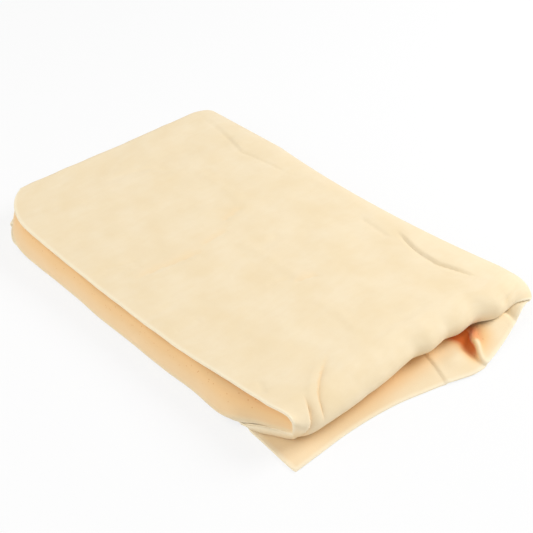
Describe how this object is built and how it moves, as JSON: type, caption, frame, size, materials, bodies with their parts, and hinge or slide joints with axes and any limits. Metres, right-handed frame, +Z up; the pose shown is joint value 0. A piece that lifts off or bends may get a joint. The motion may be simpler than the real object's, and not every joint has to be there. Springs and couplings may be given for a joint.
{
  "type": "folded synthetic chamois cloth",
  "caption": "Soft cream wiping cloth, a plain cut sheet folded into a flat pad with a round spine, a turned-under front end and a free base flap.",
  "frame": {"origin": "middle of the folded cloth's bounding box, on the floor", "axes": "+X from the hidden back end to the front end, +Y from the open left side to the round spine, +Z up"},
  "size_m": [0.3381, 0.211, 0.0293],
  "materials": {
    "chamois": "matt brushed nap, cream"
  },
  "bodies": {
    "lower_half": {"base_panel": "chamois", "inner_lower_panel": "chamois", "lower_end_fold": "chamois", "spine_fold": "chamois", "inner_spine_fold": "chamois", "corner_gusset": "chamois", "corner_pleat": "chamois"},
    "upper_half": {"top_panel": "chamois", "upper_end_fold": "chamois", "inner_upper_panel": "chamois", "front_fold": "chamois"},
    "side_edge": {"hanging_edge": "chamois"},
    "tuck": {"tucked_flap": "chamois"}
  },
  "joints": [
    {"name": "spine_opening", "type": "hinge", "parent": "lower_half", "child": "upper_half", "pos_m": [0, 0.108, 0.015], "axis": [-1, 0, 0], "range_deg": [0, 179], "deforming": ["spine_fold", "inner_spine_fold", "corner_gusset", "corner_pleat"]},
    {"name": "tuck_unfolding", "type": "hinge", "parent": "upper_half", "child": "tuck", "pos_m": [0.138, 0, 0.0148], "axis": [0, -1, 0], "range_deg": [0, 179], "deforming": ["front_fold"]},
    {"name": "side_edge_lift", "type": "hinge", "parent": "upper_half", "child": "side_edge", "pos_m": [0, -0.10465, 0.011], "axis": [-1, 0, 0], "range_deg": [0, 85]}
  ],
  "couplings": [
    {"joint": "tuck_unfolding", "follows": "spine_opening", "ratio": 1}
  ]
}
